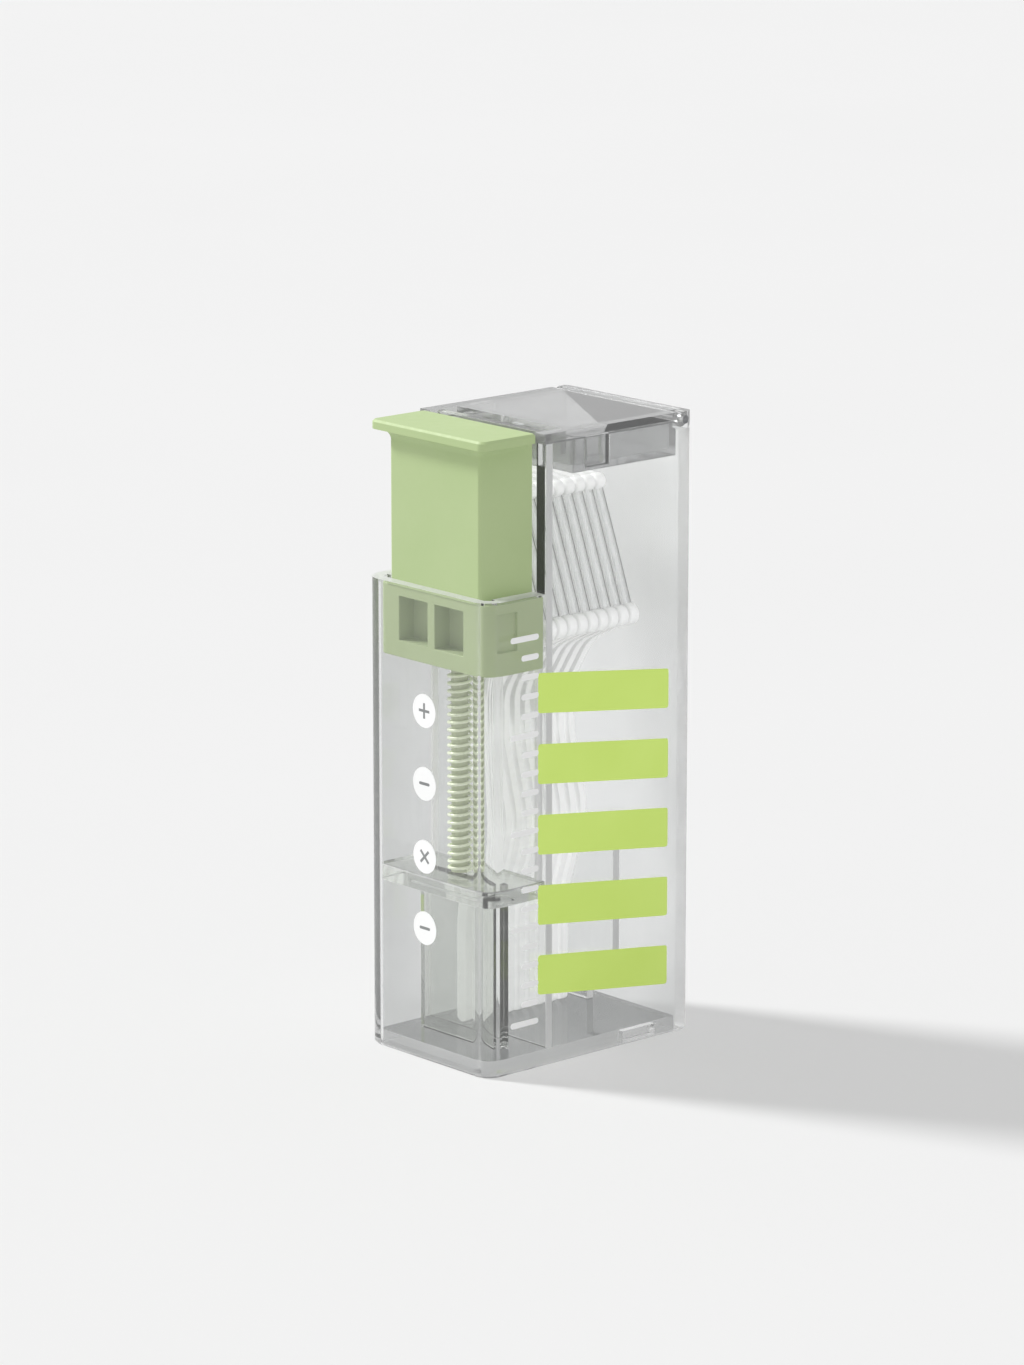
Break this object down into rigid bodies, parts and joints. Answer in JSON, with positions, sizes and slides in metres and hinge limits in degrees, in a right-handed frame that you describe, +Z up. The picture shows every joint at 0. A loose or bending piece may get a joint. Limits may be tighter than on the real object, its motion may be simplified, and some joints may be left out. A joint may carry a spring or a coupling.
{
  "type": "dental floss dispenser",
  "caption": "Upright clear plastic case that stores a row of floss picks, with a sprung green push button at the top front that lifts the front pick through a slot before a hinged lid.",
  "frame": {"origin": "middle of the underside of the base", "axes": "+Z up, -Y towards the push button, +X towards the printed side"},
  "size_m": [0.0262, 0.0382, 0.09],
  "materials": {
    "clear_plastic": "clear, polished",
    "green_plastic": "matte sage green",
    "white_plastic": "white, satin",
    "floss": "translucent white tape",
    "spring_wire": "pale coated wire",
    "pin_steel": "satin"
  },
  "bodies": {
    "case": {"case_body": "clear_plastic", "base_cover": "clear_plastic", "inner_partition": "clear_plastic", "spring_shelf": "clear_plastic", "guide_post": "green_plastic", "hinge_pin_left": "pin_steel", "hinge_pin_right": "pin_steel", "floss_pick_02": "white_plastic", "floss_pick_03": "white_plastic", "floss_pick_04": "white_plastic", "floss_pick_05": "white_plastic", "floss_pick_06": "white_plastic", "floss_pick_07": "white_plastic", "floss_pick_08": "white_plastic", "floss_pick_09": "white_plastic", "floss_tape_02": "floss", "floss_tape_03": "floss", "floss_tape_04": "floss", "floss_tape_05": "floss", "floss_tape_06": "floss", "floss_tape_07": "floss", "floss_tape_08": "floss", "floss_tape_09": "floss"},
    "button": {"press_button": "green_plastic", "slider_carriage": "green_plastic", "lift_pawl": "green_plastic", "return_spring": "spring_wire"},
    "lid": {"top_lid": "clear_plastic", "lid_liner": "clear_plastic"},
    "front_pick": {"floss_pick_01": "white_plastic", "floss_tape_01": "floss"},
    "follower": {"pick_follower": "clear_plastic"}
  },
  "joints": [
    {"name": "button_press", "type": "slide", "parent": "case", "child": "button", "axis": [0, 0, -1], "range_m": [0, 0.015], "stiffness_N_per_m": 150, "springref_m": -0.006, "deforming": ["return_spring"]},
    {"name": "lid_hinge", "type": "hinge", "parent": "case", "child": "lid", "pos_m": [0, 0.0179, 0.0888], "axis": [-1, 0, 0], "range_deg": [0, 95]},
    {"name": "pick_lift", "type": "slide", "parent": "case", "child": "front_pick", "axis": [0, 0, 1], "range_m": [0, 0.015]},
    {"name": "follower_slide", "type": "slide", "parent": "case", "child": "follower", "axis": [0, 1, 0], "range_m": [-0.0016, 0.0024]}
  ]
}
